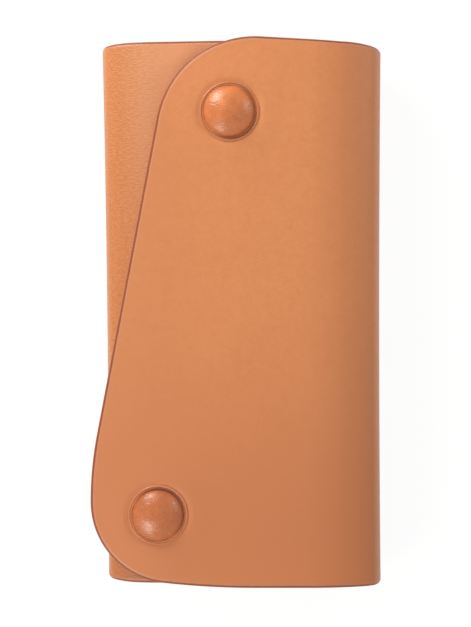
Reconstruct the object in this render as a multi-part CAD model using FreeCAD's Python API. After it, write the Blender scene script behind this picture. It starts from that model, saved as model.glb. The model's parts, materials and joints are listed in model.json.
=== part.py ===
import FreeCAD, Part
import math
import os

# A closed tri-fold leather key case with two covered snaps and a row of swivel key hooks, in millimetres.
# It lies on its back: X runs across the folds, Y along them and Z up through the layers to the flap.
# The origin is on the surface that the back rests on, under the middle of the closed case's box.

V = FreeCAD.Vector
Y_AXIS = V(0, 1, 0)
Z_AXIS = V(0, 0, 1)
FULL_TURN_DEGREES = 360
HALF_TURN_DEGREES = 180

# Closed case
overall_width = 60.6
overall_length = 114.0
flap_overhang = 2.5
leather = 1.5
lining = 0.7
lining_inset = 0.9
flap_gap = 2.0
cut_overrun = 1.0

# Two arcs count as touching, with no line between them, within this share
touching_share = 1e-9

# Ends of the blank, measured in from the ends of the box
right_fold_top_drop = 0.95
left_fold_top_drop = 0.6
wing_top_drop = 0.3
wing_bottom_rise = 0.4

# Outline of the flap: a top corner, a straight slanting edge, a long bend, a low corner and a slack lower edge
flap_peak_from_middle = 3.7
flap_top_radius = 20.7
flap_bend_radius = 74.0
flap_low_radius = 16.9
flap_low_lift = 1.1
flap_belly_radius = 170.0

# Each fold unrolls along straight hinge lines, with a narrow strip of leather between two lines
fold_hinge_count = 4
fold_slit = 0.1

# Places of the two snaps, and the wing's edge beyond them
upper_snap_from_peak = 5.3
upper_snap_drop = 15.65
lower_snap_from_left = 14.0
lower_snap_rise = 15.2
wing_margin = 7.0
wing_corner_radius = 5.0

# Covered cap: leather over a metal dome, with a bead pressed round its foot
cap_cover = 0.6
cap_dome_radius = 5.4
cap_dome_height = 2.2
cap_bead_width = 0.65
cap_bead_height = 0.5
cap_crease_height = 0.3
cap_post_radius = 1.45
cap_clinch_radius = 2.1
cap_clinch = 0.25
seat_clearance = 0.05

# Socket under the flap, with its ring spring
socket_flange_radius = 4.7
socket_flange = 0.45
socket_cup_radius = 3.7
socket_bore_radius = 2.7
socket_groove = 0.4
spring_wire_radius = 0.25
spring_gap_degrees = 30

# Stud on the wing
stud_flange_radius = 4.3
stud_flange = 0.45
stud_head_radius = 2.1
stud_neck_radius = 1.8
stud_head = 0.6
stud_head_clearance = 0.25
stud_socket_clearance = 0.15
stud_post_radius = 1.2
stud_post_head_radius = 3.6
stud_post_head = 0.5

# Key rail: an angle of sheet steel with its lip standing up from the back
rail_sheet = 0.8
rail_height = 9.0
rail_from_top = 3.0
rail_end_margin = 5.0
rail_lip_over_hole = 2.2
rail_corner_radius = 2.0
rail_bend_radius = 1.1
rail_rivet_radius = 1.2
rail_rivet_head_radius = 2.4
rail_rivet_head = 0.9
rail_rivet_from_end = 3.4
rail_washer_radius = 3.0
rail_washer = 0.45

# Swivel hooks, bent from round wire on a barrel
hook_width = 8.2
hook_clearance = 0.4
hook_spacing = 1.0
hook_wire_radius = 0.7
hook_barrel_radius = 1.75
hook_barrel = 4.4
hook_spine_from_axis = 1.0
hook_shoulder_drop = 8.2
hook_shoulder_radius = 2.0
hook_bow_drop = 17.0
hook_nose_drop = 12.4
swivel_pin_radius = 0.95
swivel_head_radius = 1.7
swivel_head = 0.8
swivel_depth = 1.6
swivel_clearance = 0.05

# Sprung gate that closes the hook's mouth, on a cross pin in the barrel's slot
gate_pivot_from_axis = 0.85
gate_pivot_drop = 3.1
gate_pin_radius = 0.4
gate_eye_radius = 0.8
gate_width = 0.9
gate_slot_side = 0.05
gate_slot_room = 0.15
gate_swing_room = 0.33
gate_nose_clearance = 0.15
gate_nose_lap = 0.8

# Levels through the closed case, from the back up
key_space = hook_width + 2 * hook_clearance
back_lining_top = leather + lining
wing_lining_base = back_lining_top + key_space
wing_base = wing_lining_base + lining
wing_top = wing_base + leather
flap_lining_base = wing_top + flap_gap
flap_base = flap_lining_base + lining
flap_top = flap_base + leather

# Places across the case, and the middle lines of its folds
right_face = overall_width / 2
flap_left = -overall_width / 2
left_face = flap_left + flap_overhang
right_fold_radius = flap_top / 2
left_fold_radius = wing_top / 2
right_fold_x = right_face - right_fold_radius
left_fold_x = left_face + left_fold_radius

# Ends of the pieces along the case
flap_top_end = overall_length / 2
bottom_end = -overall_length / 2
right_top_end = flap_top_end - right_fold_top_drop
left_top_end = flap_top_end - left_fold_top_drop
wing_top_end = flap_top_end - wing_top_drop
wing_bottom_end = bottom_end + wing_bottom_rise

# Centres of the snaps
upper_snap = (flap_peak_from_middle - upper_snap_from_peak, flap_top_end - upper_snap_drop)
lower_snap = (flap_left + lower_snap_from_left, bottom_end + lower_snap_rise)
snaps = {"upper": upper_snap, "lower": lower_snap}

# Lines of the key rail, which carries as many hooks as the back's lining has room for
hook_pitch = hook_width + hook_spacing
hook_row = right_fold_x - left_fold_x - 2 * (lining_inset + rail_end_margin)
hook_count = int(hook_row // hook_pitch) + 1
rail_middle = (left_fold_x + right_fold_x) / 2
rail_half = (hook_count - 1) * hook_pitch / 2 + rail_end_margin
rail_top_end = right_top_end - rail_from_top
rail_lip_base = rail_top_end - rail_height
swivel_z = back_lining_top + key_space / 2


def tangent_outline(corners):
    """Return a flat face round (x, y, radius) corners, anticlockwise, with tangent lines between them."""
    starts = []
    ends = []
    normals = []
    for index, (x, y, radius) in enumerate(corners):
        next_x, next_y, next_radius = corners[(index + 1) % len(corners)]
        span = math.hypot(next_x - x, next_y - y)
        along = V((next_x - x) / span, (next_y - y) / span, 0)
        right = V(along.y, -along.x, 0)
        lean = max(-1, min(1, (radius - next_radius) / span))
        square = 1 - lean * lean
        normal = along * lean + right * (math.sqrt(square) if square > touching_share else 0)
        normals.append(normal)
        starts.append(V(x, y, 0) + normal * radius)
        ends.append(V(next_x, next_y, 0) + normal * next_radius)
    edges = []
    for index, (x, y, radius) in enumerate(corners):
        arrival = ends[index - 1]
        departure = starts[index]
        if radius > 0:
            middle_normal = (normals[index - 1] + normals[index]).normalize()
            middle = V(x, y, 0) + middle_normal * radius
            edges.append(Part.Arc(arrival, middle, departure).toShape())
        if departure.distanceToPoint(ends[index]) > Part.Precision.confusion():
            edges.append(Part.LineSegment(departure, ends[index]).toShape())
    return Part.Face(Part.Wire(edges))


def slab(corners, low, high):
    """Return a flat piece with the given outline between two levels."""
    face = tangent_outline(corners)
    face.translate(V(0, 0, low))
    return face.extrude(V(0, 0, high - low))


def disc(place, radius, low, high):
    """Return a round piece that stands on Z at a place."""
    return Part.makeCylinder(radius, high - low, V(place[0], place[1], low), Z_AXIS)


def bored(solid, places, radius, low, high):
    """Return a solid with the same round hole at each place."""
    for place in places:
        solid = solid.cut(disc(place, radius, low - cut_overrun, high + cut_overrun))
    return solid


def turned(place, edges):
    """Return a profile of radius and height, turned about Z and set at a place."""
    face = Part.Face(Part.Wire(edges))
    solid = face.revolve(V(0, 0, 0), Z_AXIS, FULL_TURN_DEGREES)
    solid.translate(V(place[0], place[1], 0))
    return solid


def line(start, end):
    """Return a straight profile edge between two (radius, height) points."""
    return Part.LineSegment(V(start[0], 0, start[1]), V(end[0], 0, end[1])).toShape()


def dome_arc(radius, foot, height):
    """Return the profile edge of a dome from its crown to its foot."""
    sphere = (radius * radius + height * height) / (2 * height)
    half = math.asin(radius / sphere) / 2
    crown = foot + height
    middle = V(sphere * math.sin(half), 0, crown - sphere + sphere * math.cos(half))
    return Part.Arc(V(0, 0, crown), middle, V(radius, 0, foot)).toShape()


def fold_strip(side, axis_x, radius, degrees, ends):
    """Return the leather of a fold between two angles, counted from the back round to the front."""
    inner = radius - leather
    middle = (degrees[0] + degrees[1]) / 2

    def on_fold(reach, angle):
        turn = math.radians(angle)
        return V(axis_x + side * reach * math.sin(turn), ends[0], radius - reach * math.cos(turn))

    outer_points = [on_fold(radius, angle) for angle in (degrees[0], middle, degrees[1])]
    inner_points = [on_fold(inner, angle) for angle in (degrees[1], middle, degrees[0])]
    edges = [
        Part.Arc(*outer_points).toShape(),
        Part.LineSegment(outer_points[2], inner_points[0]).toShape(),
        Part.Arc(*inner_points).toShape(),
        Part.LineSegment(inner_points[2], outer_points[0]).toShape(),
    ]
    return Part.Face(Part.Wire(edges)).extrude(V(0, ends[1] - ends[0], 0))


def fold_lines(radius):
    """Return a fold's angles from the back to the front, as the strips between its hinge lines."""
    step = HALF_TURN_DEGREES / fold_hinge_count
    slit = math.degrees(fold_slit / radius) / 2
    strips = [(0, step / 2 - slit)]
    for index in range(fold_hinge_count - 1):
        start = (index + 1 / 2) * step
        strips.append((start + slit, start + step - slit))
    strips.append((HALF_TURN_DEGREES - step / 2 + slit, HALF_TURN_DEGREES))
    return strips


right_fold = (1, right_fold_x, right_fold_radius)
right_fold_ends = (bottom_end, right_top_end)
right_strips = fold_lines(right_fold_radius)
left_fold = (-1, left_fold_x, left_fold_radius)
left_fold_ends = (wing_bottom_end, left_top_end)
left_strips = fold_lines(left_fold_radius)


def flap_corners(start, inset):
    """Return the flap's outline from a line near the right fold, drawn in by an inset."""
    low_x = flap_left + flap_low_radius
    low_y = bottom_end + flap_low_lift + flap_low_radius
    belly_reach = math.sqrt(flap_low_lift * (2 * (flap_belly_radius - flap_low_radius) - flap_low_lift))
    return [
        (start, bottom_end + inset, 0),
        (start, right_top_end - inset, 0),
        (flap_peak_from_middle, flap_top_end - flap_top_radius, flap_top_radius - inset),
        (flap_left + flap_bend_radius, low_y, flap_bend_radius - inset),
        (low_x, low_y, flap_low_radius - inset),
        (low_x + belly_reach, bottom_end + flap_belly_radius, flap_belly_radius - inset),
    ]


def wing_corners(start, inset):
    """Return the wing's outline from a line near the left fold, with its free edge past both snaps."""
    slope = (upper_snap[0] - lower_snap[0]) / (upper_snap[1] - lower_snap[1])
    reach = (wing_margin - wing_corner_radius) * math.hypot(1, slope)
    low_y = wing_bottom_end + wing_corner_radius
    high_y = wing_top_end - wing_corner_radius
    low_x = lower_snap[0] + slope * (low_y - lower_snap[1]) + reach
    high_x = upper_snap[0] + slope * (high_y - upper_snap[1]) + reach
    return [
        (start, wing_bottom_end + inset, 0),
        (low_x, low_y, wing_corner_radius - inset),
        (high_x, high_y, wing_corner_radius - inset),
        (start, left_top_end - inset, 0),
    ]


def back_corners(inset):
    """Return the outline of the flat back between the two folds."""
    return [
        (left_fold_x + inset, wing_bottom_end + inset, 0),
        (right_fold_x - inset, bottom_end + inset, 0),
        (right_fold_x - inset, right_top_end - inset, 0),
        (left_fold_x + inset, left_top_end - inset, 0),
    ]


def rail_rivet_places():
    """Return the centres of the two rivets that hold the rail."""
    reach = rail_half - rail_rivet_from_end
    middle = (rail_lip_base + rail_sheet + rail_top_end) / 2
    return [(rail_middle - reach, middle), (rail_middle + reach, middle)]


def back_outer():
    """Back leather, with the start of both folds and the pockets for the rivet washers."""
    solid = slab(back_corners(0), 0, leather)
    solid = solid.fuse(fold_strip(*right_fold, right_strips[0], right_fold_ends))
    solid = solid.fuse(fold_strip(*left_fold, left_strips[0], left_fold_ends))
    pocket_floor = leather - rail_washer - seat_clearance
    for place in rail_rivet_places():
        solid = solid.cut(disc(place, rail_washer_radius + seat_clearance, pocket_floor, leather + cut_overrun))
    return solid.removeSplitter()


def flap_outer():
    """Flap leather, with the end of the right fold and the holes for the cap posts."""
    solid = slab(flap_corners(right_fold_x, 0), flap_base, flap_top)
    solid = solid.fuse(fold_strip(*right_fold, right_strips[-1], right_fold_ends))
    solid = bored(solid, snaps.values(), cap_post_radius + seat_clearance, flap_base, flap_top)
    return solid.removeSplitter()


def wing_outer():
    """Wing leather, with the end of the left fold and the holes for the stud posts."""
    solid = slab(wing_corners(left_fold_x, 0), wing_base, wing_top)
    solid = solid.fuse(fold_strip(*left_fold, left_strips[-1], left_fold_ends))
    solid = bored(solid, snaps.values(), stud_post_radius + seat_clearance, wing_base, wing_top)
    return solid.removeSplitter()


def back_lining():
    """Lining on the back, holed for the rail's rivets."""
    solid = slab(back_corners(lining_inset), leather, back_lining_top)
    return bored(solid, rail_rivet_places(), rail_rivet_radius + seat_clearance, leather, back_lining_top)


def flap_lining():
    """Lining under the flap, with a round window for each socket."""
    solid = slab(flap_corners(right_fold_x - lining_inset, lining_inset), flap_lining_base, flap_base)
    return bored(solid, snaps.values(), socket_flange_radius + seat_clearance, flap_lining_base, flap_base)


def wing_lining():
    """Lining under the wing, with a round window for each stud post's head."""
    solid = slab(wing_corners(left_fold_x + lining_inset, lining_inset), wing_lining_base, wing_base)
    return bored(solid, snaps.values(), stud_post_head_radius + seat_clearance, wing_lining_base, wing_base)


# Levels inside a closed snap
socket_seat = flap_base - socket_flange
clinch_base = socket_seat - cap_clinch
stud_seat = wing_top + stud_flange
stud_crown = clinch_base - stud_head_clearance
socket_mouth = stud_seat + stud_socket_clearance
spring_z = (socket_mouth + socket_seat) / 2
spring_room = spring_wire_radius + seat_clearance
metal_dome_radius = cap_dome_radius - cap_cover
metal_dome_height = cap_crease_height + cap_dome_height - cap_cover


def snap_cover(place):
    """Leather moulded over a snap cap: a dome, a crease and a bead that lies on the flap."""
    crease = flap_top + cap_crease_height
    brim = cap_dome_radius + cap_bead_width
    hollow_radius = metal_dome_radius + seat_clearance
    hollow_height = metal_dome_height + seat_clearance
    bead_crown = V(cap_dome_radius + cap_bead_width / 2, 0, flap_top + cap_bead_height)
    bead = Part.Arc(V(cap_dome_radius, 0, crease), bead_crown, V(brim, 0, flap_top)).toShape()
    return turned(place, [
        dome_arc(cap_dome_radius, crease, cap_dome_height),
        bead,
        line((brim, flap_top), (hollow_radius, flap_top)),
        dome_arc(hollow_radius, flap_top, hollow_height),
        line((0, flap_top + hollow_height), (0, crease + cap_dome_height)),
    ])


def snap_cap(place):
    """Metal cap under the cover, with its post clinched inside the socket."""
    foot = (metal_dome_radius, flap_top)
    return turned(place, [
        dome_arc(metal_dome_radius, flap_top, metal_dome_height),
        line(foot, (cap_post_radius, flap_top)),
        line((cap_post_radius, flap_top), (cap_post_radius, socket_seat)),
        line((cap_post_radius, socket_seat), (cap_clinch_radius, socket_seat)),
        line((cap_clinch_radius, socket_seat), (cap_clinch_radius, clinch_base)),
        line((cap_clinch_radius, clinch_base), (0, clinch_base)),
        line((0, clinch_base), (0, flap_top + metal_dome_height)),
    ])


def snap_socket(place):
    """Socket set against the flap leather, with a groove for its spring."""
    solid = disc(place, socket_flange_radius, socket_seat, flap_base)
    solid = solid.fuse(disc(place, socket_cup_radius, socket_mouth, socket_seat))
    solid = solid.cut(disc(place, socket_bore_radius, socket_mouth - cut_overrun, socket_seat))
    groove_radius = socket_bore_radius + socket_groove
    solid = solid.cut(disc(place, groove_radius, spring_z - spring_room, spring_z + spring_room))
    solid = bored(solid, [place], cap_post_radius + seat_clearance, socket_seat, flap_base)
    return solid.removeSplitter()


def socket_spring(place):
    """Open ring of round wire in the socket's groove."""
    ring_radius = socket_bore_radius + socket_groove - seat_clearance - spring_wire_radius
    centre = V(place[0], place[1], spring_z)
    sweep = FULL_TURN_DEGREES - spring_gap_degrees
    return Part.makeTorus(ring_radius, spring_wire_radius, centre, Z_AXIS,
                          0, FULL_TURN_DEGREES, sweep)


def snap_stud(place):
    """Stud on the wing: a flange, a neck and a wider head that the spring closes under."""
    post_room = stud_post_radius + seat_clearance
    room_top = stud_crown - stud_head / 2
    head_base = stud_crown - stud_head
    return turned(place, [
        line((post_room, wing_top), (stud_flange_radius, wing_top)),
        line((stud_flange_radius, wing_top), (stud_flange_radius, stud_seat)),
        line((stud_flange_radius, stud_seat), (stud_neck_radius, stud_seat)),
        line((stud_neck_radius, stud_seat), (stud_neck_radius, head_base)),
        line((stud_neck_radius, head_base), (stud_head_radius, room_top)),
        line((stud_head_radius, room_top), (stud_neck_radius, stud_crown)),
        line((stud_neck_radius, stud_crown), (0, stud_crown)),
        line((0, stud_crown), (0, room_top)),
        line((0, room_top), (post_room, room_top)),
        line((post_room, room_top), (post_room, wing_top)),
    ])


def stud_post(place):
    """Post of the stud, with its flat head let into the wing's lining."""
    post_top = stud_crown - stud_head / 2 - seat_clearance
    head = disc(place, stud_post_head_radius, wing_base - stud_post_head, wing_base)
    return head.fuse(disc(place, stud_post_radius, wing_base, post_top))


def key_rail():
    """Steel angle on the back lining, whose lip carries the hooks."""
    base = back_lining_top
    plate_top = base + rail_sheet
    lip_top = swivel_z + rail_lip_over_hole
    left = rail_middle - rail_half
    right = rail_middle + rail_half
    plate = slab([
        (left, rail_lip_base + rail_sheet, 0),
        (right, rail_lip_base + rail_sheet, 0),
        (right - rail_corner_radius, rail_top_end - rail_corner_radius, rail_corner_radius),
        (left + rail_corner_radius, rail_top_end - rail_corner_radius, rail_corner_radius),
    ], base, plate_top)
    plate = bored(plate, rail_rivet_places(), rail_rivet_radius + seat_clearance, base, plate_top)
    lip_face = tangent_outline([
        (left, -base, 0),
        (left + rail_corner_radius, -lip_top + rail_corner_radius, rail_corner_radius),
        (right - rail_corner_radius, -lip_top + rail_corner_radius, rail_corner_radius),
        (right, -base, 0),
    ])
    lip_face.rotate(V(0, 0, 0), V(1, 0, 0), -HALF_TURN_DEGREES / 2)
    lip_face.translate(V(0, rail_lip_base, 0))
    lip = lip_face.extrude(V(0, rail_sheet, 0))
    solid = plate.fuse(lip).removeSplitter()
    outer_bend = [edge for edge in solid.Edges
                  if abs(edge.CenterOfMass.y - rail_lip_base) < seat_clearance
                  and abs(edge.CenterOfMass.z - base) < seat_clearance]
    solid = solid.makeFillet(rail_bend_radius, outer_bend)
    for x in hook_places():
        start = V(x, rail_lip_base - cut_overrun, swivel_z)
        hole = Part.makeCylinder(swivel_pin_radius + swivel_clearance, rail_sheet + 2 * cut_overrun, start, Y_AXIS)
        solid = solid.cut(hole)
    return solid


def rail_rivets():
    """Two domed rivets through the rail and the lining, each clinched in its washer."""
    rivets = []
    plate_top = back_lining_top + rail_sheet
    tail = leather - rail_washer
    for place in rail_rivet_places():
        rivets.append(turned(place, [
            dome_arc(rail_rivet_head_radius, plate_top, rail_rivet_head),
            line((rail_rivet_head_radius, plate_top), (rail_rivet_radius, plate_top)),
            line((rail_rivet_radius, plate_top), (rail_rivet_radius, tail)),
            line((rail_rivet_radius, tail), (0, tail)),
            line((0, tail), (0, plate_top + rail_rivet_head)),
        ]))
    return Part.makeCompound(rivets)


def rail_washers():
    """Two washers under the lining, in pockets of the back leather."""
    washers = []
    base = leather - rail_washer
    for place in rail_rivet_places():
        washer = disc(place, rail_washer_radius, base, leather)
        washers.append(bored(washer, [place], rail_rivet_radius + seat_clearance, base, leather))
    return Part.makeCompound(washers)


def hook_places():
    """Return the X of each hook's swivel axis along the rail."""
    first = rail_middle - (hook_count - 1) * hook_pitch / 2
    return [first + index * hook_pitch for index in range(hook_count)]


def hook_point(x, across, drop):
    """Return a point of a hook, across from its axis and down from the rail's lip."""
    return V(x + across, rail_lip_base - drop, swivel_z)


def rounded_path(points, radius):
    """Return edges along points with the corners between them rounded."""
    edges = []
    start = points[0]
    for before, corner, after in zip(points, points[1:], points[2:]):
        arriving = (before - corner).normalize()
        leaving = (after - corner).normalize()
        half = arriving.getAngle(leaving) / 2
        setback = radius / math.tan(half)
        bisector = (arriving + leaving).normalize()
        centre = corner + bisector * (radius / math.sin(half))
        first = corner + arriving * setback
        last = corner + leaving * setback
        edges.append(Part.LineSegment(start, first).toShape())
        edges.append(Part.Arc(first, centre - bisector * radius, last).toShape())
        start = last
    edges.append(Part.LineSegment(start, points[-1]).toShape())
    return edges


def barrel_cylinder(x, radius, start_drop, end_drop):
    """Return a round piece on a hook's swivel axis between two drops below the lip."""
    return Part.makeCylinder(radius, end_drop - start_drop, hook_point(x, 0, end_drop), Y_AXIS)


def key_hook(x):
    """Hook: a slotted barrel and a bowed wire that ends in a rounded nose."""
    bow_radius = hook_width / 2 - hook_wire_radius
    spine_start = (gate_pivot_drop + hook_barrel) / 2 - hook_wire_radius
    spine_bend = hook_barrel + hook_wire_radius
    path = rounded_path([
        hook_point(x, -hook_spine_from_axis, spine_start),
        hook_point(x, -hook_spine_from_axis, spine_bend),
        hook_point(x, -bow_radius, hook_shoulder_drop),
        hook_point(x, -bow_radius, hook_bow_drop),
    ], hook_shoulder_radius)
    bow_points = [
        hook_point(x, -bow_radius, hook_bow_drop),
        hook_point(x, 0, hook_bow_drop + bow_radius),
        hook_point(x, bow_radius, hook_bow_drop),
    ]
    path.append(Part.Arc(*bow_points).toShape())
    nose = hook_point(x, bow_radius, hook_nose_drop)
    path.append(Part.LineSegment(bow_points[2], nose).toShape())
    section = Part.Wire(Part.makeCircle(hook_wire_radius, path[0].Vertexes[0].Point, Y_AXIS))
    wire = Part.Wire(path).makePipeShell([section], True, False)
    wire = wire.fuse(Part.makeSphere(hook_wire_radius, nose))
    solid = barrel_cylinder(x, hook_barrel_radius, swivel_clearance, hook_barrel).fuse(wire)
    pin_room = swivel_pin_radius + seat_clearance
    solid = solid.cut(barrel_cylinder(x, pin_room, 0, swivel_depth + seat_clearance))
    slot_left = gate_pivot_from_axis - gate_eye_radius - gate_swing_room
    slot_top = gate_pivot_drop - gate_eye_radius - gate_slot_room
    slot_half = gate_width / 2 + gate_slot_side
    slot_low = hook_point(x, slot_left, hook_barrel + cut_overrun) - V(0, 0, slot_half)
    slot = Part.makeBox(hook_barrel_radius - slot_left + cut_overrun,
                        hook_barrel + cut_overrun - slot_top, 2 * slot_half, slot_low)
    solid = solid.cut(slot)
    cross_hole = Part.makeCylinder(gate_pin_radius + seat_clearance, 2 * hook_barrel_radius,
                                   hook_point(x, gate_pivot_from_axis, gate_pivot_drop)
                                   - V(0, 0, hook_barrel_radius), Z_AXIS)
    return solid.cut(cross_hole).removeSplitter()


def hook_swivel(x):
    """Headed pin through the rail's lip, set in the top of the hook's barrel."""
    pin = barrel_cylinder(x, swivel_pin_radius, -rail_sheet - swivel_clearance, swivel_depth)
    head_start = -rail_sheet - swivel_clearance - swivel_head
    head = barrel_cylinder(x, swivel_head_radius, head_start, head_start + swivel_head)
    return pin.fuse(head).removeSplitter()


def gate_pin(x):
    """Cross pin in the barrel, inside its round side."""
    half = math.sqrt(hook_barrel_radius ** 2 - (gate_pivot_from_axis + gate_pin_radius) ** 2)
    start = hook_point(x, gate_pivot_from_axis, gate_pivot_drop) - V(0, 0, half)
    return Part.makeCylinder(gate_pin_radius, 2 * half, start, Z_AXIS)


def hook_gate(x):
    """Gate: an eye on the cross pin and an arm that closes behind the nose."""
    mouth_face = hook_width / 2 - 2 * hook_wire_radius - gate_nose_clearance
    tip_across = mouth_face - gate_width / 2
    tip_drop = hook_nose_drop + gate_nose_lap
    arm_face = tangent_outline([
        (gate_pivot_from_axis, -gate_pivot_drop, gate_eye_radius),
        (tip_across, -tip_drop, gate_width / 2),
    ])
    arm = arm_face.extrude(V(0, 0, gate_width))
    hole = Part.makeCylinder(gate_pin_radius + seat_clearance, gate_width + 2 * cut_overrun,
                             V(gate_pivot_from_axis, -gate_pivot_drop, -cut_overrun), Z_AXIS)
    arm = arm.cut(hole)
    arm.translate(V(x, rail_lip_base, swivel_z - gate_width / 2))
    return arm


def build():
    """Return every piece of the case by its name."""
    pieces = {
        "back_outer": back_outer(),
        "flap_outer": flap_outer(),
        "wing_outer": wing_outer(),
        "back_lining": back_lining(),
        "flap_lining": flap_lining(),
        "wing_lining": wing_lining(),
        "key_rail": key_rail(),
        "rail_rivets": rail_rivets(),
        "rail_washers": rail_washers(),
    }
    for index in range(1, fold_hinge_count):
        pieces[f"right_fold_{index}"] = fold_strip(*right_fold, right_strips[index], right_fold_ends)
        pieces[f"left_fold_{index}"] = fold_strip(*left_fold, left_strips[index], left_fold_ends)
    for name, place in snaps.items():
        pieces[f"{name}_snap_cover"] = snap_cover(place)
        pieces[f"{name}_snap_cap"] = snap_cap(place)
        pieces[f"{name}_snap_socket"] = snap_socket(place)
        pieces[f"{name}_socket_spring"] = socket_spring(place)
        pieces[f"{name}_snap_stud"] = snap_stud(place)
        pieces[f"{name}_stud_post"] = stud_post(place)
    for index, x in enumerate(hook_places(), start=1):
        pieces[f"key_hook_{index}"] = key_hook(x)
        pieces[f"hook_swivel_{index}"] = hook_swivel(x)
        pieces[f"hook_gate_{index}"] = hook_gate(x)
        pieces[f"gate_pin_{index}"] = gate_pin(x)
    return pieces


os.makedirs("parts", exist_ok=True)
for node, shape in build().items():
    shape.exportStep(f"parts/{node}.step")
    print(f"{node}: {len(shape.Solids)} solid, {shape.Volume:.2f} mm3, valid {shape.isValid()}")
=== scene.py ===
import json
import math
import bmesh
import bpy
import numpy as np
from mathutils import Matrix, Vector


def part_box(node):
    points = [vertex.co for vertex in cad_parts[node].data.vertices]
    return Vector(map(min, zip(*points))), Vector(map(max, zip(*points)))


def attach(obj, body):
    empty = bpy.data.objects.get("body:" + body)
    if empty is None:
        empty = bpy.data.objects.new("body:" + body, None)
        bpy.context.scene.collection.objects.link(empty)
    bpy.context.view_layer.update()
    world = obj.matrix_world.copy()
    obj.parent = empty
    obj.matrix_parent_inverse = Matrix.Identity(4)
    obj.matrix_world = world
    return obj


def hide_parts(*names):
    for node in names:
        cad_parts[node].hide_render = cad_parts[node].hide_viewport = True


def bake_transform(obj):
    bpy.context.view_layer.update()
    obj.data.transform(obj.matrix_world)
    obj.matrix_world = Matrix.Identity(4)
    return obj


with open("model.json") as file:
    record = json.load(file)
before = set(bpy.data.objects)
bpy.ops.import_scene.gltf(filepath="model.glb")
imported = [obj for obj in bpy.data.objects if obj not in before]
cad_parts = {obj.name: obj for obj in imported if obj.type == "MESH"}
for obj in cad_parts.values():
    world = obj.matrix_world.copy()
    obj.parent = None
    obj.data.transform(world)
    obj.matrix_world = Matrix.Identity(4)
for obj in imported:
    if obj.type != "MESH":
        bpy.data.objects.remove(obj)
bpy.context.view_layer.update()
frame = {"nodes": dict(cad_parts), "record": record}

# A closed tri-fold key case of vegetable-tanned leather, lying on its back and seen from the front.
# Lengths are in metres, and MM turns a maker's millimetres into them.
MM = 0.001
nodes = frame["nodes"]

# Sizes that the solids were drawn with
OVERALL_WIDTH = 60.6 * MM
OVERALL_LENGTH = 114.0 * MM
LINING_INSET = 0.9 * MM
FLAP_PEAK = 3.7 * MM
FLAP_TOP_RADIUS = 20.7 * MM
FLAP_BEND_RADIUS = 74.0 * MM
FLAP_LOW_RADIUS = 16.9 * MM
FLAP_LOW_LIFT = 0.95 * MM
FLAP_BELLY_RADIUS = 170.0 * MM
WING_TOP_DROP = 0.15 * MM
WING_MARGIN = 7.0 * MM
WING_CORNER = 5.0 * MM
SOCKET_WINDOW = 4.75 * MM
STUD_WINDOW = 3.65 * MM
RIVET_HOLE = 1.25 * MM
RIVET_HEAD_RADIUS = 2.4 * MM
FOLD_LINES = 4

# Levels and fold lines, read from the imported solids
BACK_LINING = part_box("back_lining")
WING_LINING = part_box("wing_lining")
FLAP_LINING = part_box("flap_lining")
LEATHER = BACK_LINING[0].z
FLAP_TOP = FLAP_LINING[1].z + LEATHER
WING_TOP = WING_LINING[1].z + LEATHER
RIGHT_RADIUS = FLAP_TOP / 2
LEFT_RADIUS = WING_TOP / 2
RIGHT_AXIS = BACK_LINING[1].x + LINING_INSET
LEFT_AXIS = BACK_LINING[0].x - LINING_INSET
RIGHT_ENDS = (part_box("right_fold_2")[0].y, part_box("right_fold_2")[1].y)
LEFT_ENDS = (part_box("left_fold_2")[0].y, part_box("left_fold_2")[1].y)
FLAP_LEFT = -OVERALL_WIDTH / 2
FLAP_END = OVERALL_LENGTH / 2
UPPER_SNAP = (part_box("upper_snap_cover")[0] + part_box("upper_snap_cover")[1]) / 2
LOWER_SNAP = (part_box("lower_snap_cover")[0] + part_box("lower_snap_cover")[1]) / 2
SNAPS = (UPPER_SNAP, LOWER_SNAP)

# Soft departures of hand-cut leather from the drawing, seen in the photograph
LEFT_FOLD_DROP = 0.35 * MM
RIGHT_FOLD_DROP = 0.85 * MM
RIGHT_FOLD_SLIP = 0.15 * MM
LEFT_LEAN = 0.7 * MM
LEFT_WAIST = 0.18 * MM
LEFT_FLARE = 0.15 * MM
RIGHT_WAIST = 0.3 * MM
EASE = 20 * MM
EDGE_WIDTH = 1.0 * MM
EDGE_DEPTH = 0.85 * MM
EDGE_UNDER = 0.3 * MM
FACE_MARGIN = 0.2 * MM

# Sag of flap and wing into their folds, which fades in above a share of the fold's radius
SAG_START = 13.5 * MM
SAG_RISE = 6.8 * MM
WING_SAG_START = 15.5 * MM
WING_SAG_RISE = 5.4 * MM
SAG_BLEND = 0.2 * MM
SAG_LIMIT = 0.98
SAG_LEVEL = 0.9
SAG_FADE = 0.5

# Shoulder of the flap round each cap, and the seat under the cap
SHOULDER = 0.18 * MM
SHOULDER_FOOT = 6.1 * MM
SHOULDER_RISE = 1.2 * MM
SHOULDER_CREST = 7.4 * MM
SHOULDER_FALL = 5.5 * MM
CAP_SEAT = 0.35 * MM
SEAT_RADIUS = 5.6 * MM
SEAT_RIM = 0.35 * MM

# Wear and painted light on the hide: where each kind starts, the length over which it grows, and how much
# it comes to. Crinkle is wear, the sheen is painted sheen, and the flap and corner shades are painted
# shade.
CRINKLE_FADES = (0, 10 * MM, 0.75)
# Painted sheen: paler hide on the wing and the flap's left in place of reflected light
SHEEN_ACROSS = (-4 * MM, 8 * MM, 1)
SHEEN_ALONG = (-30 * MM, 70 * MM, 1)
FLAP_SHEEN_FADES = (0, 28 * MM, 1)
# Painted shade on the flap: darker towards the lower end, the right fold and the left edge
FLAP_SHADE_LOW = (-10 * MM, 60 * MM, 1)
FLAP_SHADE_OUTER = (13 * MM, 13 * MM, 0.38)
FLAP_SHADE_INNER = (2 * MM, 18 * MM, 0.25)
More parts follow.
